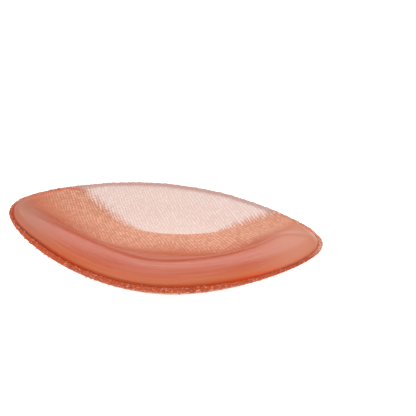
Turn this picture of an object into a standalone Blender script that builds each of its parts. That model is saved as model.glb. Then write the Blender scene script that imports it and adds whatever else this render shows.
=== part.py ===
"""Gel bunion shield: an almond-shaped cloth cup with a soft gel pad moulded into it.

The cup lies on its rounded cloth side, open side up. Its length runs along X,
and the near long side, where the gel is thickest, is towards -Y.
"""
import math

import bmesh
import bpy
import numpy as np

# Overall sizes of the cloth cup, in metres
LENGTH = 0.080
WIDTH = 0.0434
DEPTH = 0.0085
REST_OFFSET = 0.0010
TIP_RISE = 0.0030
COVER_WALL = 0.0013

# Shape of the outline, the rounded underside and the gel roll's lean along the cup, as shares
TIP_NARROWING = 0.29
END_DIFFERENCE = 0.035
REST_SHARE = 0.36
WALL_CURVE = 1.7
ROLL_LEAN = 0.10

# The gel pad, in metres
GEL_THICKNESS = 0.0083
GEL_FILM = 0.0007
GEL_EDGE = 0.0005
ROLL_WIDTH = 0.0290
EDGE_FADE = 0.0020
LAYER_GAP = 0.0003
FOOT_INSET = 0.0004
NEAR_LEDGE = 0.0011
POUR_LEVEL = 0.0027
POUR_ROUNDING = 0.0003

# How many points each grid has
OUTLINE_POINTS = 96
COVER_RINGS = 12
GEL_RINGS = 15
EDGE_ARCS = 3

# Gel roll across its width: share of ROLL_WIDTH in from the rim, share of GEL_THICKNESS
ROLL_PROFILE = [
    {"inward": 0.041, "height": 0.000},
    {"inward": 0.059, "height": 0.020},
    {"inward": 0.072, "height": 0.090},
    {"inward": 0.103, "height": 0.240},
    {"inward": 0.172, "height": 0.520},
    {"inward": 0.241, "height": 0.760},
    {"inward": 0.293, "height": 0.900},
    {"inward": 0.328, "height": 0.965},
    {"inward": 0.362, "height": 1.000},
    {"inward": 0.397, "height": 0.990},
    {"inward": 0.431, "height": 0.950},
    {"inward": 0.500, "height": 0.800},
    {"inward": 0.569, "height": 0.660},
    {"inward": 0.638, "height": 0.515},
    {"inward": 0.707, "height": 0.386},
    {"inward": 0.776, "height": 0.290},
    {"inward": 0.845, "height": 0.200},
    {"inward": 0.914, "height": 0.110},
    {"inward": 1.000, "height": 0.000},
]

# Window of bare cloth at the far rim: angle round the centre in degrees, reach of the gel as a share
WINDOW_EDGE = [
    {"angle": 45.5, "reach": 1.00},
    {"angle": 48.3, "reach": 0.97},
    {"angle": 50.3, "reach": 0.90},
    {"angle": 52.3, "reach": 0.84},
    {"angle": 56.0, "reach": 0.765},
    {"angle": 61.5, "reach": 0.68},
    {"angle": 66.3, "reach": 0.61},
    {"angle": 77.0, "reach": 0.53},
    {"angle": 87.7, "reach": 0.49},
    {"angle": 99.0, "reach": 0.485},
    {"angle": 107.3, "reach": 0.505},
    {"angle": 115.7, "reach": 0.545},
    {"angle": 122.0, "reach": 0.60},
    {"angle": 126.3, "reach": 0.67},
    {"angle": 128.7, "reach": 0.75},
    {"angle": 130.0, "reach": 0.86},
    {"angle": 131.5, "reach": 0.95},
    {"angle": 133.0, "reach": 1.00},
]

# How full the gel roll is from the near side to the far side: share of half the width, share of the roll
SIDE_FULLNESS = [
    {"across": -1.00, "fullness": 1.00},
    {"across": -0.35, "fullness": 1.00},
    {"across": -0.20, "fullness": 0.95},
    {"across": -0.05, "fullness": 0.80},
    {"across": 0.10, "fullness": 0.56},
    {"across": 0.25, "fullness": 0.32},
    {"across": 0.40, "fullness": 0.13},
    {"across": 0.55, "fullness": 0.03},
    {"across": 0.70, "fullness": 0.00},
    {"across": 1.00, "fullness": 0.00},
]


def clear_scene():
    """Empties the file of every object."""
    for old in list(bpy.data.objects):
        bpy.data.objects.remove(old, do_unlink=True)


def column(table, name):
    """One named column of a table as an array."""
    return np.array([row[name] for row in table])


def rim_point(angle):
    """Outline of the cup seen from above, at an angle round the centre."""
    along = np.cos(angle)
    narrowing = 1.0 - TIP_NARROWING * along ** 2 - END_DIFFERENCE * along
    x = LENGTH / 2 * along
    y = WIDTH / 2 * np.sin(angle) * narrowing
    return x, y


def outer_surface(share, angle):
    """Underside of the cup: share 0 is its middle, share 1 its rim."""
    rim_x, rim_y = rim_point(angle)
    climb = np.clip((share - REST_SHARE) / (1.0 - REST_SHARE), 0.0, None)
    z = DEPTH * climb ** WALL_CURVE + TIP_RISE * np.cos(angle) ** 2 * climb ** 2
    return np.stack([rim_x * share, rim_y * share - REST_OFFSET * (1.0 - share), z], axis=-1)


def inward_normal(share, angle):
    """Unit direction that points from the underside into the hollow of the cup."""
    step = 0.002
    middle = np.maximum(share, 0.02)
    by_share = outer_surface(middle + step, angle) - outer_surface(middle - step, angle)
    by_angle = outer_surface(middle, angle + step) - outer_surface(middle, angle - step)
    normal = np.cross(by_share, by_angle)
    return normal / np.linalg.norm(normal, axis=-1, keepdims=True)


def layer(share, angle, height):
    """Points a given height above the underside, measured along its inward direction."""
    return outer_surface(share, angle) + inward_normal(share, angle) * height


def rim_distance(points):
    """Distance of each point from the outline, seen from above."""
    x, y = rim_point(np.linspace(0.0, 2 * math.pi, 360))
    from_rim_x = points[..., 0, None] - x
    from_rim_y = points[..., 1, None] - y
    return np.sqrt(from_rim_x ** 2 + from_rim_y ** 2).min(axis=-1)


def closed_body(name, rings, material):
    """Closed solid from nested rings of points that run from one pole, out and back to another pole."""
    mesh = bmesh.new()
    first_pole = mesh.verts.new(rings[0].mean(axis=0))
    last_pole = mesh.verts.new(rings[-1].mean(axis=0))
    loops = [[mesh.verts.new(point) for point in ring] for ring in rings[1:-1]]
    count = len(loops[0])
    for i in range(count):
        k = (i + 1) % count
        mesh.faces.new((first_pole, loops[0][k], loops[0][i]))
        mesh.faces.new((last_pole, loops[-1][i], loops[-1][k]))
        for inner, outer in zip(loops[:-1], loops[1:]):
            mesh.faces.new((inner[i], inner[k], outer[k], outer[i]))
    bmesh.ops.recalc_face_normals(mesh, faces=mesh.faces)
    for face in mesh.faces:
        face.smooth = True
    data = bpy.data.meshes.new(name)
    mesh.to_mesh(data)
    mesh.free()
    data.materials.append(material)
    body = bpy.data.objects.new(name, data)
    bpy.context.scene.collection.objects.link(body)
    return body


def cloth_material():
    """Tan nylon cloth with a satin surface."""
    material = bpy.data.materials.new("nylon_cloth")
    material.use_nodes = True
    shader = material.node_tree.nodes["Principled BSDF"]
    shader.inputs["Base Color"].default_value = (0.68, 0.37, 0.27, 1.0)
    shader.inputs["Roughness"].default_value = 0.65
    shader.inputs["Metallic"].default_value = 0.0
    return material


def gel_material():
    """Soft orange-pink gel with a smooth surface."""
    material = bpy.data.materials.new("soft_gel")
    material.use_nodes = True
    shader = material.node_tree.nodes["Principled BSDF"]
    shader.inputs["Base Color"].default_value = (0.65, 0.20, 0.10, 1.0)
    shader.inputs["Roughness"].default_value = 0.35
    shader.inputs["Metallic"].default_value = 0.0
    return material


def make_cover(material):
    """The cloth cup: its underside, a rounded cut edge and its inside."""
    angle = np.linspace(0.0, 2 * math.pi, OUTLINE_POINTS, endpoint=False)
    shares = np.concatenate([[0.0, REST_SHARE / 2], np.linspace(REST_SHARE, 1.0, COVER_RINGS)])
    under = [outer_surface(share, angle) for share in shares]
    inside = [layer(share, angle, COVER_WALL) for share in shares]
    out_way = under[-1] - under[-2]
    out_way = out_way / np.linalg.norm(out_way, axis=-1, keepdims=True)
    edge = []
    for turn in np.linspace(0.0, math.pi, EDGE_ARCS + 2)[1:-1]:
        height = COVER_WALL / 2 * (1.0 - math.cos(turn))
        reach = COVER_WALL / 4 * math.sin(turn)
        edge.append(layer(1.0, angle, height) + out_way * reach)
    return closed_body("cover", under + edge + inside[::-1], material)


def gel_angles():
    """Angles round the centre, even all round and closer together along the window's edge."""
    window = np.radians(column(WINDOW_EDGE, "angle"))
    even = np.linspace(0.0, 2 * math.pi, OUTLINE_POINTS, endpoint=False)
    outside = even[(even < window[0] - 0.03) | (even > window[-1] + 0.03)]
    between = (window[:-1] + window[1:]) / 2
    return np.sort(np.concatenate([outside, window, between]))


def gel_reach(angle):
    """How far out the gel goes at each angle, as a share of the way to the rim."""
    window = np.radians(column(WINDOW_EDGE, "angle"))
    inset = FOOT_INSET + (NEAR_LEDGE - FOOT_INSET) * np.clip(-np.sin(angle), 0.0, 1.0)
    foot = 1.0 - inset / np.hypot(*rim_point(angle))
    return foot * np.interp(angle, window, column(WINDOW_EDGE, "reach"), left=1.0, right=1.0)


def gel_thickness(floor, share_of_reach, edge_radius):
    """Gel thickness over the floor points: a roll near the rim, a film elsewhere."""
    inward = rim_distance(floor) / ROLL_WIDTH
    roll = np.interp(inward, column(ROLL_PROFILE, "inward"), column(ROLL_PROFILE, "height"))
    across = (floor[:, 1] - ROLL_LEAN * floor[:, 0]) / (WIDTH / 2)
    fullness = np.interp(across, column(SIDE_FULLNESS, "across"), column(SIDE_FULLNESS, "fullness"))
    body = GEL_FILM + (GEL_THICKNESS - GEL_FILM) * roll * fullness
    from_edge = (1.0 - share_of_reach) * edge_radius / EDGE_FADE
    fade = np.clip(from_edge, 0.0, 1.0)
    rounded = np.sqrt(1.0 - (1.0 - fade) ** 2)
    return GEL_EDGE + (body - GEL_EDGE) * rounded


def levelled(points):
    """Gel top kept under the level of the pour, which rises with the rim towards the tips; a soft minimum."""
    level = DEPTH + TIP_RISE * (points[:, 0] / (LENGTH / 2)) ** 2 + POUR_LEVEL
    room = np.logaddexp(0.0, (level - points[:, 2]) / POUR_ROUNDING)
    return np.stack([points[:, 0], points[:, 1], level - POUR_ROUNDING * room], axis=-1)


def make_gel_pad(material):
    """The gel: its underside follows the cloth, its top has the roll and the window's edge."""
    angle = gel_angles()
    reach = gel_reach(angle)
    edge_radius = reach * np.hypot(*rim_point(angle))
    steps = np.linspace(0.0, 1.0, GEL_RINGS) ** 0.8
    under = []
    top = []
    for step in steps:
        floor = layer(step * reach, angle, COVER_WALL + LAYER_GAP)
        thickness = gel_thickness(floor, step, edge_radius)
        under.append(floor)
        top.append(levelled(floor + np.stack([0 * thickness, 0 * thickness, thickness], axis=-1)))
    return closed_body("gel_pad", under + top[::-1], material)


clear_scene()
make_cover(cloth_material())
make_gel_pad(gel_material())
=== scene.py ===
"""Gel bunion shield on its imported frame: a moulded cloth cup, the gel cast in it and the frayed edge."""
import math

import bpy
import numpy as np
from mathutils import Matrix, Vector


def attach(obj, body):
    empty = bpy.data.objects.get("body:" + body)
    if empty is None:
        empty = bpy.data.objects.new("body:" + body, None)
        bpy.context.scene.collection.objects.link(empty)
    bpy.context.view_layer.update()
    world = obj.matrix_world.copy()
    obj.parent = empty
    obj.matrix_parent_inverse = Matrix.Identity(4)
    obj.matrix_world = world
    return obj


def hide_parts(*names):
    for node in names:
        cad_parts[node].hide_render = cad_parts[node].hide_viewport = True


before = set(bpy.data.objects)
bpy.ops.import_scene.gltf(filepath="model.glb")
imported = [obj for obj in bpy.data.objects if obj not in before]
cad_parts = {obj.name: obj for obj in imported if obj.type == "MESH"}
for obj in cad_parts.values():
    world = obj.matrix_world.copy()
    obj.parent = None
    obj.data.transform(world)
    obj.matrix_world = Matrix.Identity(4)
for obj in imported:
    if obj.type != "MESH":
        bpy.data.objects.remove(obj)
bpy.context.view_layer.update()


# Cloth cover
# Satin nylon tricot, heat-pressed into an almond-shaped bowl and trimmed by hand all round. The paler
# face is inside, and it shows bare at the far side of the hollow, where no gel was poured.
cup_length = 0.080
cup_width = 0.0434
cup_depth = 0.0085
tip_lift = 0.0030
tip_narrowing = 0.29
end_difference = 0.035
flat_share = 0.36
flat_offset = 0.0010
wall_curve = 1.7
cloth_wall = 0.0013
rim_thinning = 0.0005
trim_wander = 0.00010
mean_radius = 0.022
cut_bulge = 0.2 * cloth_wall
weave_sheet = 0.100
cover_columns = 640
cover_rings = 62
window_blur = 0.35
# Edge of the bare window: angle round the middle in degrees, share of the way to the rim that has gel
window_edge = [
    {"angle": 45.5, "reach": 1.00},
    {"angle": 48.3, "reach": 0.97},
    {"angle": 50.3, "reach": 0.90},
    {"angle": 52.3, "reach": 0.84},
    {"angle": 56.0, "reach": 0.765},
    {"angle": 61.5, "reach": 0.68},
    {"angle": 66.3, "reach": 0.61},
    {"angle": 77.0, "reach": 0.53},
    {"angle": 87.7, "reach": 0.49},
    {"angle": 99.0, "reach": 0.485},
    {"angle": 107.3, "reach": 0.505},
    {"angle": 115.7, "reach": 0.545},
    {"angle": 122.0, "reach": 0.60},
    {"angle": 126.3, "reach": 0.67},
    {"angle": 128.7, "reach": 0.75},
    {"angle": 130.0, "reach": 0.86},
    {"angle": 131.5, "reach": 0.95},
    {"angle": 133.0, "reach": 1.00},
]


def rim_curve(angle):
    """Almond outline from above: an ellipse whose width shrinks with the square of the way to a tip."""
    along = np.cos(angle)
    narrowing = 1.0 - tip_narrowing * along ** 2 - end_difference * along
    return cup_length / 2 * along, cup_width / 2 * np.sin(angle) * narrowing


def cup_outside(share, angle):
    """Underside of the bowl: flat where it rests, then a power curve up to the rim, with lifted tips."""
    rim_x, rim_y = rim_curve(angle)
    climb = np.clip((share - flat_share) / (1.0 - flat_share), 0.0, None)
    z = cup_depth * climb ** wall_curve + tip_lift * np.cos(angle) ** 2 * climb ** 2
    return np.stack([rim_x * share, rim_y * share - flat_offset * (1.0 - share), z], axis=-1)


def cup_layer(share, angle, height):
    """Points a height above the underside, along its inward normal, found from small steps both ways."""
    step = 0.002
    middle = np.maximum(share, 0.02)
    by_share = cup_outside(middle + step, angle) - cup_outside(middle - step, angle)
    by_angle = cup_outside(middle, angle + step) - cup_outside(middle, angle - step)
    normal = np.cross(by_share, by_angle)
    normal = normal / np.linalg.norm(normal, axis=-1, keepdims=True)
    return cup_outside(share, angle) + normal * np.expand_dims(height, -1)


def smooth_step(value, low, high):
    """0 below low, 1 above high, and the usual cubic between them."""
    t = np.clip((value - low) / (high - low), 0.0, 1.0)
    return t * t * (3.0 - 2.0 * t)


def near_share(angle):
    """1 along the near side, 0 at the tips and the far side, with soft ends set in degrees."""
    degrees = np.degrees(angle)
    return smooth_step(degrees, 195.0, 225.0) * (1.0 - smooth_step(degrees, 285.0, 325.0))


def clean_tip(degrees):
    """1 round the right tip and up to the window, where the gel runs out to the cut and hides the stain; it
    also fades the painted crease shade there.
    """
    above = 1.0 - smooth_step(degrees, 55.0, 60.0)
    below = 1.0 - smooth_step(360.0 - degrees, 6.0, 24.0)
    return np.maximum(above, below)


def wall_height(share, angle):
    """Thickness of the cloth, which is pressed thinner near the rim except along the near side."""
    return cloth_wall - rim_thinning * (1.0 - near_share(angle)) * smooth_step(share, 0.80, 1.0)


def soft_curve(values, table, across, up, blur):
    """A table read as a curve: straight lines between its rows, then rounded by a bell-shaped average."""
    start = table[0][across]
    end = table[-1][across]
    fine = np.linspace(start - 4 * blur, end + 4 * blur, 800)
    line = np.interp(fine, [row[across] for row in table], [row[up] for row in table])
    spread = np.arange(-4 * blur, 4 * blur + 1e-9, fine[1] - fine[0])
    bell = np.exp(-0.5 * (spread / blur) ** 2)
    padded = np.pad(line, len(bell) // 2, mode="edge")
    rounded = np.convolve(padded, bell / bell.sum(), mode="same")[len(bell) // 2:-(len(bell) // 2)]
    return np.interp(values, fine, rounded)


def line_distance(points, x, y):
    """Distance seen from above to the nearest of the points (x, y) of a line."""
    squared = (points[..., 0, None] - x) ** 2 + (points[..., 1, None] - y) ** 2
    return np.sqrt(squared.min(axis=-1))


def window_distance(points):
    """Distance seen from above to the edge of the bare window, sampled along its whole run."""
    angle = np.radians(np.linspace(45.6, 132.9, 160))
    reach = soft_curve(np.degrees(angle), window_edge, "angle", "reach", window_blur)
    border = cup_layer(reach, angle, np.full(angle.size, cloth_wall))
    return line_distance(points, border[:, 0], border[:, 1])


def bare_share(points, gap):
    """1 on bare cloth, 0 on full film: a straight ramp over the window's border, wider at its ends."""
    left = smooth_step(-points[..., 0], 0.004, 0.018)
    right = smooth_step(points[..., 0], 0.006, 0.020)
    on_film = 0.0016 - 0.0002 * left - 0.0006 * right
    on_cloth = 0.0044 * left + 0.0036 * right
    return np.clip((on_film - gap) / (on_film + on_cloth), 0.0, 1.0)


def flat_pattern(share, angle):
    """Where a point of the bowl lies on the flat cloth: same direction, at its length along the wall."""
    steps = np.linspace(0.0, 1.0, 60)
    path = cup_outside(steps[:, None], angle.reshape(1, -1))
    legs = np.linalg.norm(np.diff(path, axis=0), axis=-1)
    reach = np.vstack([np.zeros(angle.size), np.cumsum(legs, axis=0)])
    spot = np.clip(share.reshape(share.shape[0], -1) * 59.0, 0.0, 58.999)
    low = spot.astype(int)
    columns = np.arange(angle.size)[None, :]
    length = reach[low, columns] + (reach[low + 1, columns] - reach[low, columns]) * (spot - low)
    rim_x, rim_y = rim_curve(angle.reshape(1, -1))
    size = np.hypot(rim_x, rim_y)
    return np.stack([length * rim_x / size, length * rim_y / size], axis=-1)


def wander(angle, seed, waves):
    """A gentle random wave round the rim, between about -1 and 1: a sum of sines with falling height."""
    rng = np.random.default_rng(seed)
    total = np.zeros_like(angle)
    for wave in waves:
        total = total + np.sin(wave * angle + rng.uniform(0, 2 * math.pi)) / len(waves) ** 0.5
    return total


def skin_object(name, points, material, marks, pattern):
    """Closed mesh from an array of rings by columns: quads between rings, a fan round each pole ring."""
    rings, columns = points.shape[:2]
    inner = points[1:-1].reshape(-1, 3)
    verts = np.vstack([points[0].mean(axis=0), inner, points[-1].mean(axis=0)])
    ring = np.arange(rings - 3)[:, None] * columns + 1
    here = np.arange(columns)[None, :]
    there = (np.arange(columns)[None, :] + 1) % columns
    quads = np.stack([ring + here, ring + there, ring + there + columns, ring + here + columns], axis=-1)
    last = verts.shape[0] - 1
    first_fan = np.stack([np.zeros(columns, int), 1 + there[0], 1 + here[0]], axis=-1)
    end = 1 + (rings - 3) * columns
    last_fan = np.stack([np.full(columns, last), end + here[0], end + there[0]], axis=-1)
    mesh = bpy.data.meshes.new(name)
    faces = quads.reshape(-1, 4).tolist() + first_fan.tolist() + last_fan.tolist()
    mesh.from_pydata(verts.tolist(), [], faces)
    for label, values in marks.items():
        values = np.concatenate([[values[0].mean()], values[1:-1].ravel(), [values[-1].mean()]])
        mesh.attributes.new(label, "FLOAT", "POINT").data.foreach_set("value", values.astype(np.float32))
    flat = np.vstack([pattern[0].mean(axis=0), pattern[1:-1].reshape(-1, 2), pattern[-1].mean(axis=0)])
    corner = np.zeros(len(mesh.loops), dtype=np.int32)
    mesh.loops.foreach_get("vertex_index", corner)
    layer = mesh.uv_layers.new(name="flat_pattern")
    layer.data.foreach_set("uv", (flat[corner] / weave_sheet + 0.5).ravel().astype(np.float32))
    mesh.polygons.foreach_set("use_smooth", np.ones(len(mesh.polygons), dtype=bool))
    mesh.materials.append(material)
    piece = bpy.data.objects.new(name, mesh)
    bpy.context.scene.collection.objects.link(piece)
    return piece


def add_node(tree, kind, **settings):
    """A shader node with its settings; a key that names an input sets that input's value."""
    node = tree.nodes.new(kind)
    for key, value in settings.items():
        if key in node.inputs:
            node.inputs[key].default_value = value
        else:
            setattr(node, key, value)
    return node


def maths(tree, operation, first, second=0.0, third=None):
    """One arithmetic step between sockets or plain numbers."""
    node = tree.nodes.new("ShaderNodeMath")
    node.operation = operation
    for slot_number, value in enumerate((first, second, third)):
        if value is None:
            continue
        if isinstance(value, (int, float)):
            node.inputs[slot_number].default_value = value
        else:
            tree.links.new(value, node.inputs[slot_number])
    return node.outputs[0]


def blend_colour(tree, share, first, second):
    """A colour between two, by a share; each colour is a socket or four numbers."""
    node = tree.nodes.new("ShaderNodeMix")
    node.data_type = "RGBA"
    for key, value in (("Factor", share), (6, first), (7, second)):
        target = node.inputs[0] if key == "Factor" else node.inputs[key]
        if isinstance(value, (tuple, int, float)):
            target.default_value = value
        else:
            tree.links.new(value, target)
    return node.outputs[2]


def attribute_value(tree, name):
    """The number that the mesh carries at each point under this name."""
    return add_node(tree, "ShaderNodeAttribute", attribute_name=name).outputs["Fac"]


def knit_group():
    """Tricot knit as a node group: ribs one way, a hole at each corner of the grid, and uneven loops."""
    group = bpy.data.node_groups.new("tricot_knit", "ShaderNodeTree")
    group.interface.new_socket("Pattern", in_out="INPUT", socket_type="NodeSocketVector")
    group.interface.new_socket("Threads", in_out="INPUT", socket_type="NodeSocketFloat")
    group.interface.new_socket("Turn", in_out="INPUT", socket_type="NodeSocketFloat")
    group.interface.new_socket("Height", in_out="OUTPUT", socket_type="NodeSocketFloat")
    group.interface.new_socket("Unevenness", in_out="OUTPUT", socket_type="NodeSocketFloat")
    inlet = group.nodes.new("NodeGroupInput")
    outlet = group.nodes.new("NodeGroupOutput")
    drift = add_node(group, "ShaderNodeTexNoise", Scale=22.0, Detail=4.0, Roughness=0.75)
    group.links.new(inlet.outputs["Pattern"], drift.inputs["Vector"])
    sway = group.nodes.new("ShaderNodeVectorMath")
    sway.operation = "MULTIPLY_ADD"
    group.links.new(drift.outputs["Color"], sway.inputs[0])
    sway.inputs[1].default_value = (0.016, 0.016, 0.0)
    group.links.new(inlet.outputs["Pattern"], sway.inputs[2])
    turned = group.nodes.new("ShaderNodeVectorRotate")
    turned.rotation_type = "Z_AXIS"
    group.links.new(sway.outputs[0], turned.inputs["Vector"])
    group.links.new(inlet.outputs["Turn"], turned.inputs["Angle"])
    sized = group.nodes.new("ShaderNodeVectorMath")
    sized.operation = "SCALE"
    group.links.new(turned.outputs[0], sized.inputs[0])
    group.links.new(inlet.outputs["Threads"], sized.inputs["Scale"])
    parts = group.nodes.new("ShaderNodeSeparateXYZ")
    group.links.new(sized.outputs[0], parts.inputs[0])
    turn_x = maths(group, "MULTIPLY", parts.outputs[0], math.pi)
    turn_y = maths(group, "MULTIPLY", parts.outputs[1], math.pi)
    across_x = maths(group, "ABSOLUTE", maths(group, "SINE", turn_x))
    across_y = maths(group, "ABSOLUTE", maths(group, "SINE", turn_y))
    beside_x = maths(group, "SUBTRACT", 1.0, across_x)
    beside_y = maths(group, "SUBTRACT", 1.0, across_y)
    holes = maths(group, "MULTIPLY", beside_x, beside_y)
    closed = maths(group, "SUBTRACT", 1.0, holes)
    ribs = maths(group, "MULTIPLY", across_x, maths(group, "MULTIPLY_ADD", across_y, 0.4, 0.6))
    both = maths(group, "MULTIPLY_ADD", closed, 0.4, maths(group, "MULTIPLY", ribs, 0.6))
    crossing = group.nodes.new("ShaderNodeVectorMath")
    crossing.operation = "FLOOR"
    group.links.new(sized.outputs[0], crossing.inputs[0])
    chance = add_node(group, "ShaderNodeTexWhiteNoise", noise_dimensions="2D")
    group.links.new(crossing.outputs[0], chance.inputs["Vector"])
    plump = maths(group, "MULTIPLY_ADD", chance.outputs["Value"], 0.65, 0.62)
    group.links.new(maths(group, "MULTIPLY", both, plump), outlet.inputs["Height"])
    patches = add_node(group, "ShaderNodeTexNoise", Scale=55.0, Detail=3.0, Roughness=0.6)
    group.links.new(inlet.outputs["Pattern"], patches.inputs["Vector"])
    group.links.new(patches.outputs["Fac"], outlet.inputs["Unevenness"])
    return group


tricot_knit = knit_group()


def knit_on(tree, threads, turn):
    """The knit group placed in a material, read on the piece's own flat pattern."""
    pattern = add_node(tree, "ShaderNodeUVMap", uv_map="flat_pattern")
    knit = tree.nodes.new("ShaderNodeGroup")
    knit.node_tree = tricot_knit
    knit.inputs["Threads"].default_value = threads
    knit.inputs["Turn"].default_value = turn
    tree.links.new(pattern.outputs["UV"], knit.inputs["Pattern"])
    return knit


def bare_showing(tree, knit):
    """How much bare cloth shows: raised loops come clear of the gel first."""
    bare = maths(tree, "MULTIPLY_ADD", attribute_value(tree, "bare"), 2.0, -0.75)
    showing = add_node(tree, "ShaderNodeClamp")
    tree.links.new(maths(tree, "MULTIPLY_ADD", knit.outputs["Height"], 0.5, bare), showing.inputs["Value"])
    return showing.outputs[0]


inner_threads = 132.0
outer_threads = 134.0
inner_turn = math.radians(-39.0)
outer_turn = math.radians(9.0)
pale_face = (0.98, 0.83, 0.77, 1.0)
pale_gap = (0.87, 0.62, 0.54, 1.0)
satin_face = (0.55, 0.25, 0.165, 1.0)
satin_gap = (0.26, 0.08, 0.04, 1.0)
soaked_edge = (0.52, 0.070, 0.014, 1.0)
# Painted shade: a dusky mauve band along the inside of the rim.
painted_rim_shade = (0.60, 0.34, 0.30, 1.0)
film_colour = (0.93, 0.46, 0.305, 1.0)
film_gap = (0.55, 0.175, 0.09, 1.0)


def cloth_finish():
    """Satin knit outside, paler and duller inside, stained by the gel round the trimmed edge, with a
    painted shade band along the inside of the rim.
    """
    material = bpy.data.materials.new("satin_tricot")
    material.use_nodes = True
    tree = material.node_tree
    shader = tree.nodes["Principled BSDF"]
    inside = attribute_value(tree, "inside")
    soaked = attribute_value(tree, "soaked")
    inner_knit = knit_on(tree, inner_threads, inner_turn)
    outer_knit = knit_on(tree, outer_threads, outer_turn)
    inner_colour = blend_colour(tree, inner_knit.outputs["Height"], pale_gap, pale_face)
    stained = blend_colour(tree, inner_knit.outputs["Height"], film_gap, film_colour)
    inner_colour = blend_colour(tree, bare_showing(tree, inner_knit), stained, inner_colour)
    outer_colour = blend_colour(tree, outer_knit.outputs["Height"], satin_gap, satin_face)
    colour = blend_colour(tree, inside, outer_colour, inner_colour)
    uneven = maths(tree, "MULTIPLY_ADD", inner_knit.outputs["Unevenness"], 0.5, -0.25)
    stain_and_crease_shade = maths(tree, "ADD", soaked, maths(tree, "MULTIPLY", soaked, uneven))
    colour = blend_colour(tree, maths(tree, "MULTIPLY", stain_and_crease_shade, 0.92), colour, soaked_edge)
    # Painted shade: a dusky band along the inside of the rim at the window and the far left, where shade
    # falls under the lip.
    colour = blend_colour(tree, attribute_value(tree, "rim_shade"), colour, painted_rim_shade)
    tree.links.new(colour, shader.inputs["Base Color"])
    inner_height = maths(tree, "MULTIPLY", inner_knit.outputs["Height"], inside)
    outside = maths(tree, "SUBTRACT", 1.0, inside)
    outer_height = maths(tree, "MULTIPLY", outer_knit.outputs["Height"], outside)
    bump = add_node(tree, "ShaderNodeBump", Strength=0.55, Distance=0.00022)
    tree.links.new(maths(tree, "ADD", inner_height, outer_height), bump.inputs["Height"])
    tree.links.new(bump.outputs["Normal"], shader.inputs["Normal"])
    tree.links.new(maths(tree, "MULTIPLY_ADD", inside, 0.28, 0.40), shader.inputs["Roughness"])
    shader.inputs["Sheen Weight"].default_value = 0.03
    shader.inputs["Sheen Roughness"].default_value = 0.4
    shader.inputs["Sheen Tint"].default_value = (1.0, 0.88, 0.82, 1.0)
    shader.inputs["Specular IOR Level"].default_value = 0.22
    return material


def make_cloth_cover():
    """Rings from the middle of the underside out to the trimmed edge, over it, and back in on top."""
    angle = np.linspace(0.0, 2 * math.pi, cover_columns, endpoint=False)
    shares = np.concatenate([[0.0], np.linspace(0.04, 1.0, cover_rings)])
    slow_waves = wander(angle, 4, (5, 9, 16, 31)) * 0.4
    quick_waves = wander(angle, 8, (67, 103, 149, 211)) * 0.35
    trim = 1.0 + (slow_waves + quick_waves) * trim_wander / mean_radius
    trimmed = [share * (1.0 + (trim - 1.0) * share ** 6) for share in shares]
    under = [cup_outside(cut, angle) for cut in trimmed]
    inside = [cup_layer(cut, angle, wall_height(share, angle)) for cut, share in zip(trimmed, shares)]
    out_way = under[-1] - under[-2]
    out_way = out_way / np.linalg.norm(out_way, axis=-1, keepdims=True)
    edge = []
    edge_turns = np.linspace(0.0, math.pi, 9)[1:-1]
    for turn in edge_turns:
        rough = 1.0 + 0.20 * wander(angle, int(turn * 100), (83, 127, 191, 263))
        reach = cut_bulge * math.sin(turn) * rough
        height = wall_height(1.0, angle) / 2 * (1.0 - math.cos(turn))
        edge.append(cup_layer(trim, angle, height) + out_way * reach[:, None])
    points = np.array(under + edge + inside[::-1])
    share_of = np.concatenate([shares, np.ones(len(edge)), shares[::-1]])
    side = np.concatenate([np.zeros(len(shares)), np.linspace(0.0, 1.0, len(edge)), np.ones(len(shares))])
    inside_mark = np.repeat(side[:, None], angle.size, axis=1)
    degrees = np.degrees(angle)
    open_side = smooth_step(degrees, 45.0, 51.0) * (1.0 - smooth_step(degrees, 128.0, 134.0))
    to_rim = (1.0 - share_of)[:, None] * np.hypot(*rim_curve(angle))[None, :]
    inner_soak = 1.0 - smooth_step(to_rim, 0.0013, 0.0026)
    outer_soak = 0.35 - 0.35 * smooth_step(to_rim, 0.0002, 0.0010)
    turned_in = smooth_step(side, 0.0, 0.35)[:, None]
    to_edge = inner_soak * turned_in + outer_soak * (1.0 - turned_in)
    far_left = smooth_step(degrees, 128.0, 134.0) * (1.0 - smooth_step(degrees, 165.0, 185.0))
    clean = (1.0 - open_side) * (1.0 - 0.65 * far_left) * (1.0 - 0.80 * clean_tip(degrees))
    soaked_mark = to_edge * clean[None, :]
    # Share of the painted rim shade: most at the window, less at the far left.
    rim_shade_side = 0.8 * open_side + 0.45 * far_left
    rim_shade_mark = (1.0 - smooth_step(to_rim, 0.0003, 0.0009)) * side[:, None] * rim_shade_side[None, :]
    opening = soft_curve(degrees, window_edge, "angle", "reach", window_blur)
    gap = window_distance(points) * np.where(share_of[:, None] < opening[None, :], 1.0, -1.0)
    pattern = flat_pattern(np.repeat(share_of[:, None], angle.size, axis=1), angle)
    marks = {"inside": inside_mark, "soaked": soaked_mark, "rim_shade": rim_shade_mark, "bare": bare_share(points, gap)}
    return skin_object("cloth_cover", points, cloth_finish(), marks, pattern)


thread_count = 2400
thread_radius = 0.00009
thread_reach = 0.00055
thread_root = 0.00012
red_thread = (0.48, 0.06, 0.014, 1.0)
pink_thread = (1.0, 0.58, 0.44, 1.0)
pale_thread = (0.90, 0.66, 0.58, 1.0)


def thread_finish():
    """Bare nylon ends, each dyed a little differently, and pale where no gel reached them."""
    material = bpy.data.materials.new("cut_nylon")
    material.use_nodes = True
    tree = material.node_tree
    shader = tree.nodes["Principled BSDF"]
    dyed = blend_colour(tree, attribute_value(tree, "dye"), red_thread, pink_thread)
    colour = blend_colour(tree, attribute_value(tree, "dry"), dyed, pale_thread)
    tree.links.new(colour, shader.inputs["Base Color"])
    shader.inputs["Roughness"].default_value = 0.55
    shader.inputs["Specular IOR Level"].default_value = 0.22
    return material


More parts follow.
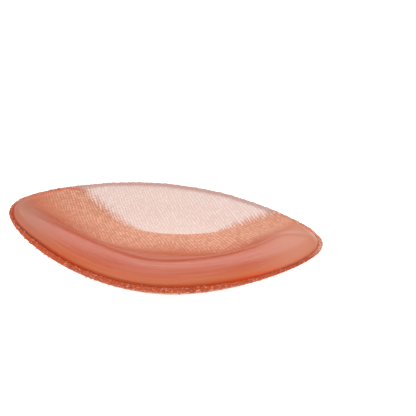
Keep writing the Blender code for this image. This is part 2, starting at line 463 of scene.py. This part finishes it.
def make_cut_threads():
    """Bent tubes of four sides rooted in the cut: a straight lead along and off the edge, plus a curl that
    grows with the square of the way to the tip."""
    rng = np.random.default_rng(12)
    fine = np.linspace(0.0, 2 * math.pi, 2000)
    walk = np.linalg.norm(np.diff(np.stack(rim_curve(fine), axis=-1), axis=0), axis=-1)
    walk = np.concatenate([[0.0], np.cumsum(walk)])
    angle = np.interp(rng.uniform(0.0, walk[-1], thread_count), walk, fine)
    turn = rng.uniform(0.05, 0.95, thread_count) * math.pi
    rim = cup_outside(np.ones(thread_count), angle)
    out_way = rim - cup_outside(np.full(thread_count, 0.98), angle)
    out_way = out_way / np.linalg.norm(out_way, axis=-1, keepdims=True)
    along = cup_outside(np.ones(thread_count), angle + 0.002) - rim
    along = along / np.linalg.norm(along, axis=-1, keepdims=True)
    up = np.cross(out_way, along)
    height = wall_height(1.0, angle) / 2 * (1.0 - np.cos(turn))
    root = cup_layer(np.ones(thread_count), angle, height)
    root = root + out_way * (cut_bulge * np.sin(turn) - thread_root)[:, None]
    near = 0.5 - 0.5 * np.sin(angle)
    reach = thread_reach * rng.uniform(0.35, 1.0, thread_count) * (0.45 + 0.55 * near)
    off = rng.uniform(0.10, 0.55, thread_count) * np.sin(turn)
    side = rng.choice([-1.0, 1.0], thread_count) * rng.uniform(0.3, 1.0, thread_count)
    lift = rng.uniform(-0.5, 0.5, thread_count)
    lead = out_way * off[:, None] + along * side[:, None] + up * lift[:, None]
    lead = lead / np.linalg.norm(lead, axis=-1, keepdims=True)
    curl_along = along * rng.uniform(-0.5, 0.5, thread_count)[:, None]
    curl = curl_along + up * rng.uniform(-0.6, 0.3, thread_count)[:, None]
    way = np.linspace(0.0, 1.0, 5)[None, :, None]
    path = root[:, None, :] + reach[:, None, None] * (way * lead[:, None, :] + way ** 2 * curl[:, None, :])
    first = np.cross(up, lead)
    first = first / np.linalg.norm(first, axis=-1, keepdims=True)
    second = np.cross(lead, first)
    round_way = np.linspace(0.0, 2 * math.pi, 4, endpoint=False)
    cos_way = np.cos(round_way)[None, :, None]
    sin_way = np.sin(round_way)[None, :, None]
    ring = cos_way * first[:, None, :] + sin_way * second[:, None, :]
    radius = thread_radius * rng.uniform(0.75, 1.25, thread_count)[:, None, None, None]
    points = path[:, :, None, :] + ring[:, None, :, :] * radius * (1.0 - 0.4 * way ** 2)[..., None]
    start = (np.arange(thread_count) * 20)[:, None, None]
    here = start + np.arange(4)[None, :, None] * 4 + np.arange(4)[None, None, :]
    there = start + np.arange(4)[None, :, None] * 4 + (np.arange(4)[None, None, :] + 1) % 4
    walls = np.stack([here, there, there + 4, here + 4], axis=-1).reshape(-1, 4)
    first_end = start[:, 0] + np.array([[3, 2, 1, 0]])
    last_end = start[:, 0] + np.array([[16, 17, 18, 19]])
    ends = np.concatenate([first_end, last_end])
    mesh = bpy.data.meshes.new("cut_threads")
    mesh.from_pydata(points.reshape(-1, 3).tolist(), [], walls.tolist() + ends.tolist())
    degrees = np.degrees(angle)
    dry = smooth_step(degrees, 45.0, 51.0) * (1.0 - smooth_step(degrees, 128.0, 134.0))
    dry = np.maximum(dry * 0.8, clean_tip(degrees) * 0.6)
    marks = {"dye": rng.uniform(0.0, 1.0, thread_count) ** 2.0, "dry": dry}
    for label, values in marks.items():
        at_points = np.repeat(values, 20).astype(np.float32)
        mesh.attributes.new(label, "FLOAT", "POINT").data.foreach_set("value", at_points)
    mesh.polygons.foreach_set("use_smooth", np.ones(len(mesh.polygons), dtype=bool))
    mesh.materials.append(thread_finish())
    piece = bpy.data.objects.new("cut_threads", mesh)
    bpy.context.scene.collection.objects.link(piece)
    return piece


cloth_cover = make_cloth_cover()
cut_threads = make_cut_threads()
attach(cloth_cover, "root")
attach(cut_threads, "root")
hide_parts("cover")


# Gel pad
# Clear orange-pink gel, cast in one pour over the pale face of the cloth. It stands up in a fat smooth roll
# along the near side and at both tips, and thins to a skin over the knit, which shows through it.
gel_height = 0.0083
gel_film = 0.0007
gel_lip = 0.00006
roll_width = 0.0290
foot_inset = 0.0004
foot_rounding = 0.0018
pour_gap = 0.0003
bed_gap = 0.00002
pour_level = 0.0027
pour_rounding = 0.0003
roll_lean = 0.10
near_ledge = 0.0008
gel_columns = 540
gel_rings = 76
# The roll from its foot to its back: share of roll_width in from the rim, share of gel_height
roll_profile = [
    {"inward": 0.041, "height": 0.000},
    {"inward": 0.059, "height": 0.020},
    {"inward": 0.072, "height": 0.090},
    {"inward": 0.103, "height": 0.240},
    {"inward": 0.172, "height": 0.520},
    {"inward": 0.241, "height": 0.760},
    {"inward": 0.293, "height": 0.900},
    {"inward": 0.328, "height": 0.965},
    {"inward": 0.362, "height": 1.000},
    {"inward": 0.397, "height": 0.990},
    {"inward": 0.431, "height": 0.950},
    {"inward": 0.500, "height": 0.800},
    {"inward": 0.569, "height": 0.660},
    {"inward": 0.638, "height": 0.515},
    {"inward": 0.707, "height": 0.386},
    {"inward": 0.776, "height": 0.290},
    {"inward": 0.845, "height": 0.200},
    {"inward": 0.914, "height": 0.110},
    {"inward": 1.000, "height": 0.000},
]
# How full the roll is from the near side to the far side: share of half the width, share of the roll
side_fullness = [
    {"across": -1.00, "fullness": 1.00},
    {"across": -0.35, "fullness": 1.00},
    {"across": -0.20, "fullness": 0.95},
    {"across": -0.05, "fullness": 0.80},
    {"across": 0.10, "fullness": 0.56},
    {"across": 0.25, "fullness": 0.32},
    {"across": 0.40, "fullness": 0.13},
    {"across": 0.55, "fullness": 0.03},
    {"across": 0.70, "fullness": 0.00},
    {"across": 1.00, "fullness": 0.00},
]
# Where the knit fades out under thicker gel: share of half the length, share of half the width
weave_edge = [
    {"along": -1.00, "across": 0.30},
    {"along": -0.87, "across": 0.08},
    {"along": -0.77, "across": -0.09},
    {"along": -0.60, "across": -0.28},
    {"along": -0.40, "across": -0.40},
    {"along": -0.18, "across": -0.30},
    {"along": 0.03, "across": -0.12},
    {"along": 0.36, "across": -0.16},
    {"along": 0.61, "across": -0.10},
    {"along": 0.75, "across": 0.12},
    {"along": 0.84, "across": 0.42},
    {"along": 1.00, "across": 0.80},
]


def rim_distance(points):
    """Distance from the outline seen from above, to the nearest of many points on it."""
    return line_distance(points, *rim_curve(np.linspace(0.0, 2 * math.pi, 480, endpoint=False)))


thin_gel = (0.63, 0.145, 0.048, 1.0)
deep_gel = (0.55, 0.074, 0.014, 1.0)
# Painted crease shade and glow, for the band along the gel's foot.
painted_crease_glow = (0.88, 0.100, 0.018, 1.0)
# Painted sheen for the streaks on the roll's front.
sheen_streak_gel = (0.66, 0.21, 0.11, 1.0)
# Pale cloth under thin gel, with a painted reflection, for the tips.
milky_sheen_gel = (0.70, 0.28, 0.175, 1.0)
# Painted reflection for the left tip.
painted_reflection_gel = (0.50, 0.185, 0.12, 1.0)


def gel_finish():
    """Smooth soft gel whose colour deepens with its thickness; where it is a skin, the knit shows. It
    carries painted crease shade at its foot, painted sheen on its streaks and painted reflections at its
    tips.
    """
    material = bpy.data.materials.new("cast_gel")
    material.use_nodes = True
    tree = material.node_tree
    shader = tree.nodes["Principled BSDF"]
    depth = attribute_value(tree, "depth_mm")
    skin = attribute_value(tree, "skin")
    bare = attribute_value(tree, "bare")
    knit = knit_on(tree, inner_threads, inner_turn)
    cloth = blend_colour(tree, knit.outputs["Height"], pale_gap, pale_face)
    film = blend_colour(tree, knit.outputs["Height"], film_gap, film_colour)
    ramp = tree.nodes.new("ShaderNodeMapRange")
    ramp.inputs["From Min"].default_value = 1.6
    ramp.inputs["From Max"].default_value = 5.5
    tree.links.new(depth, ramp.inputs["Value"])
    gel = blend_colour(tree, ramp.outputs[0], thin_gel, deep_gel)
    length_wise = tree.nodes.new("ShaderNodeCombineXYZ")
    tree.links.new(maths(tree, "MULTIPLY", attribute_value(tree, "along_mm"), 0.035), length_wise.inputs[0])
    tree.links.new(maths(tree, "MULTIPLY", attribute_value(tree, "inward_mm"), 1.6), length_wise.inputs[1])
    streaks = add_node(tree, "ShaderNodeTexNoise", Scale=1.0, Detail=3.0, Roughness=0.55)
    tree.links.new(length_wise.outputs[0], streaks.inputs["Vector"])
    centred = maths(tree, "SUBTRACT", streaks.outputs["Fac"], 0.5)
    streak = maths(tree, "MULTIPLY", centred, attribute_value(tree, "front"))
    film = blend_colour(tree, maths(tree, "MULTIPLY", attribute_value(tree, "tint"), 0.85), film, gel)
    # The streaks are faint ridges in the bump; their lighter colour is a painted sheen, light caught along
    # them.
    gel = blend_colour(tree, maths(tree, "MULTIPLY_ADD", streak, 1.4, 0.10), gel, sheen_streak_gel)
    colour = blend_colour(tree, skin, gel, film)
    # Painted crease colour: the shade and the red glow of light through the gel, in a band along the gel's
    # foot where it meets the cloth.
    colour = blend_colour(tree, attribute_value(tree, "crease_shade"), colour, painted_crease_glow)
    # Paler tips: partly the pale cloth showing through the thin gel, partly a painted reflection.
    colour = blend_colour(tree, attribute_value(tree, "tips"), colour, milky_sheen_gel)
    # Painted reflection: the left tip's gel turned greyish pink as if it mirrored the white above.
    colour = blend_colour(tree, attribute_value(tree, "left_tip"), colour, painted_reflection_gel)
    colour = blend_colour(tree, bare_showing(tree, knit), colour, cloth)
    tree.links.new(colour, shader.inputs["Base Color"])
    knit_relief = maths(tree, "MULTIPLY", knit.outputs["Height"], skin)
    streak_relief = maths(tree, "MULTIPLY", streak, maths(tree, "MULTIPLY_ADD", skin, -0.25, 0.25))
    bump = add_node(tree, "ShaderNodeBump", Strength=0.45, Distance=0.00020)
    tree.links.new(maths(tree, "ADD", knit_relief, streak_relief), bump.inputs["Height"])
    tree.links.new(bump.outputs["Normal"], shader.inputs["Normal"])
    gloss = maths(tree, "MULTIPLY_ADD", skin, 0.26, 0.25)
    gloss = maths(tree, "MULTIPLY_ADD", streak, 0.12, gloss)
    gloss = maths(tree, "MULTIPLY_ADD", attribute_value(tree, "tips"), 0.14, gloss)
    gloss = maths(tree, "MULTIPLY_ADD", attribute_value(tree, "left_tip"), 0.16, gloss)
    tree.links.new(maths(tree, "MULTIPLY_ADD", bare, 0.14, gloss), shader.inputs["Roughness"])
    shader.inputs["IOR"].default_value = 1.42
    shader.inputs["Subsurface Weight"].default_value = 0.18
    shader.inputs["Subsurface Radius"].default_value = (0.0022, 0.0008, 0.0005)
    shader.inputs["Subsurface Scale"].default_value = 1.0
    return material


def both_faces(values):
    """The same values on the rings of the underside and, in the other order, on those of the top."""
    return np.concatenate([values, values[::-1]])


def gel_marks(floor, away, inward, across, border_gap, angle):
    """Marks that the gel's material reads: shares from 0 to 1, and ways along and in from the rim in mm."""
    x, y = floor[..., 0], floor[..., 1]
    edge_at = soft_curve(x / (cup_length / 2), weave_edge, "along", "across", 0.05)
    past_edge = y / (cup_width / 2) - edge_at
    skin = smooth_step(past_edge, -0.04, 0.22)
    to_left = smooth_step(-x, -0.005, 0.025)
    outline = np.stack(rim_curve(angle), axis=-1)
    stride = np.linalg.norm(np.diff(outline, axis=0, append=outline[:1]), axis=-1)
    front = (1.0 - smooth_step(inward, 0.36, 0.50)) * (1.0 - smooth_step(across, -0.20, 0.05))
    stain_and_crease_shade = (1.0 - 0.9 * clean_tip(np.degrees(angle)))[None, :]
    return {
        "skin": skin,
        "tint": 1.0 - smooth_step(past_edge / (0.34 + 0.40 * to_left), 0.0, 1.0),
        # Share of the paler tips: pale cloth under thin gel, and a painted reflection.
        "tips": 0.72 * smooth_step(x + 0.4 * y, 0.016, 0.034) * (1.0 - 0.6 * skin),
        # Share of the painted reflection at the left tip.
        "left_tip": 0.75 * smooth_step(-x, 0.020, 0.036) * (1.0 - 0.85 * skin),
        # Share of the painted crease shade and glow along the foot, faded round the right tip.
        "crease_shade": (1.0 - smooth_step(away * 1000.0, 1.9, 2.5)) * stain_and_crease_shade,
        "bare": bare_share(floor, border_gap),
        "front": front * (1.0 - smooth_step(np.abs(x), 0.027, 0.033)),
        "along_mm": np.repeat(np.cumsum(stride)[None, :] * 1000.0, len(floor), axis=0),
        "inward_mm": away * 1000.0,
    }


def make_gel_pad():
    """Rings from the middle of the gel's underside out to its foot, and back in over its top.

    The height over the bed is film + (thickness - film) * roll(way in from the rim) * fullness(way across),
    rounded down to a lip at the foot and the window, and kept under a level that rises to the tips.
    """
    start = math.radians(92.0)
    even = start + np.linspace(0.0, 2 * math.pi, gel_columns, endpoint=False)
    close = np.concatenate([np.linspace(44.0, 52.0, 40), np.linspace(124.0, 134.0, 50)])
    angle = np.sort(np.unique(np.concatenate([np.mod(even, 2 * math.pi), np.radians(close)])))
    degrees = np.degrees(angle)
    inset = foot_inset + (near_ledge - foot_inset) * near_share(angle)
    foot = 1.0 - inset / np.hypot(*rim_curve(angle))
    opening = soft_curve(degrees, window_edge, "angle", "reach", window_blur)
    reach = foot * np.clip(opening, 0.0, 1.0)
    steps = np.linspace(0.0, 1.0, gel_rings) ** 0.75
    share = steps[:, None] * reach[None, :]
    turn = np.repeat(angle[None, :], len(steps), axis=0)
    floor = cup_layer(share, turn, np.full(share.shape, cloth_wall + pour_gap))
    bed = cup_layer(share, turn, wall_height(share, turn) + bed_gap)
    away = rim_distance(floor) + pour_gap
    drift = wander(angle, 21, (2, 3, 5, 8))[None, :]
    inward = away / roll_width * (1.0 + 0.012 * drift * smooth_step(share, 0.2, 0.6))
    roll = soft_curve(inward, roll_profile, "inward", "height", 0.015)
    across = (floor[..., 1] - roll_lean * floor[..., 0]) / (cup_width / 2)
    fullness = soft_curve(across, side_fullness, "across", "fullness", 0.05)
    uneven = (1.0 + 0.012 * wander(angle, 5, (3, 4, 7)))[None, :]
    body = gel_film + (gel_height - gel_film) * roll * fullness * uneven
    rim_gap = (1.0 - steps)[:, None] * (reach * np.hypot(*rim_curve(angle)))[None, :]
    in_window = smooth_step(degrees, 45.0, 48.0) * (1.0 - smooth_step(degrees, 130.0, 133.0))
    fade = np.maximum(np.clip(rim_gap / foot_rounding, 0.0, 1.0), in_window[None, :])
    border_gap = window_distance(floor)
    feather = smooth_step(border_gap, -0.0004, 0.0024)
    rounded = np.sqrt(1.0 - (1.0 - fade) ** 2) * feather
    top_height = gel_lip + (body + pour_gap - gel_lip) * rounded
    top = bed.copy()
    top[..., 2] += top_height
    level = cup_depth + tip_lift * (top[..., 0] / (cup_length / 2)) ** 2 + pour_level
    top[..., 2] = level - pour_rounding * np.logaddexp(0.0, (level - top[..., 2]) / pour_rounding)
    marks = gel_marks(floor, away, inward, across, border_gap, angle)
    marks = {label: both_faces(values) for label, values in marks.items()}
    marks["depth_mm"] = np.concatenate([0 * top_height, (top_height * 1000.0)[::-1]])
    points = np.concatenate([bed, top[::-1]])
    pattern = both_faces(flat_pattern(share, angle))
    return skin_object("cast_gel_pad", points, gel_finish(), marks, pattern)


cast_gel_pad = make_gel_pad()
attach(cast_gel_pad, "root")
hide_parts("gel_pad")


# Table, light and camera
# A plain pale table top that glows a little, soft square lights overhead, in front and behind, and the
# view down into the hollow from the near side.
table_half = 1.6
table_glow = 0.80
paper_shade = (0.93, 0.93, 0.93, 1.0)
paper_light = (0.95, 0.95, 0.95, 1.0)


def make_table():
    """A flat square, its two sides given by two parameters from -1 to 1 times its half size."""
    corners = [(x * table_half, y * table_half, 0.0) for x, y in ((-1, -1), (1, -1), (1, 1), (-1, 1))]
    mesh = bpy.data.meshes.new("pale_table")
    mesh.from_pydata(corners, [], [(0, 1, 2, 3)])
    material = bpy.data.materials.new("pale_paper")
    material.use_nodes = True
    tree = material.node_tree
    shader = tree.nodes["Principled BSDF"]
    spot = add_node(tree, "ShaderNodeTexCoord")
    mottle = add_node(tree, "ShaderNodeTexNoise", Scale=3.0, Detail=2.0)
    tree.links.new(spot.outputs["Object"], mottle.inputs["Vector"])
    paper = blend_colour(tree, mottle.outputs["Fac"], paper_shade, paper_light)
    tree.links.new(paper, shader.inputs["Base Color"])
    shader.inputs["Roughness"].default_value = 0.9
    shader.inputs["Specular IOR Level"].default_value = 0.1
    shader.inputs["Emission Color"].default_value = (1.0, 1.0, 1.0, 1.0)
    shader.inputs["Emission Strength"].default_value = table_glow
    mesh.materials.append(material)
    table = bpy.data.objects.new("pale_table", mesh)
    bpy.context.scene.collection.objects.link(table)
    return table


make_table()


def soft_box(name, place, size, power):
    """A square area light that faces the shield."""
    light = bpy.data.lights.new(name, "AREA")
    light.size = size
    light.energy = power
    lamp = bpy.data.objects.new(name, light)
    lamp.location = place
    lamp.rotation_euler = (-Vector(place)).to_track_quat("-Z", "Y").to_euler()
    bpy.context.scene.collection.objects.link(lamp)


soft_box("overhead_box", (0.02, 0.05, 0.75), 1.10, 3.0)
soft_box("front_box", (-0.20, -0.60, 0.50), 0.60, 1.3)
soft_box("back_box", (-0.15, 0.55, 0.46), 0.20, 0.52)
world = bpy.data.worlds.new("studio")
world.use_nodes = True
world.node_tree.nodes["Background"].inputs["Color"].default_value = (1.0, 1.0, 1.0, 1.0)
world.node_tree.nodes["Background"].inputs["Strength"].default_value = 0.5
bpy.context.scene.world = world
bpy.context.scene.view_settings.view_transform = "Standard"

view_place = Vector((0.07126, -0.30512, 0.25742))
view_target = Vector((0.00991, 0.00670, 0.01410))
camera = bpy.data.objects.new("camera", bpy.data.cameras.new("camera"))
camera.data.sensor_width = 36.0
camera.data.lens = 137.3
camera.data.clip_start = 0.01
camera.location = view_place
camera.rotation_euler = (view_target - view_place).to_track_quat("-Z", "Y").to_euler()
bpy.context.scene.collection.objects.link(camera)
bpy.context.scene.camera = camera
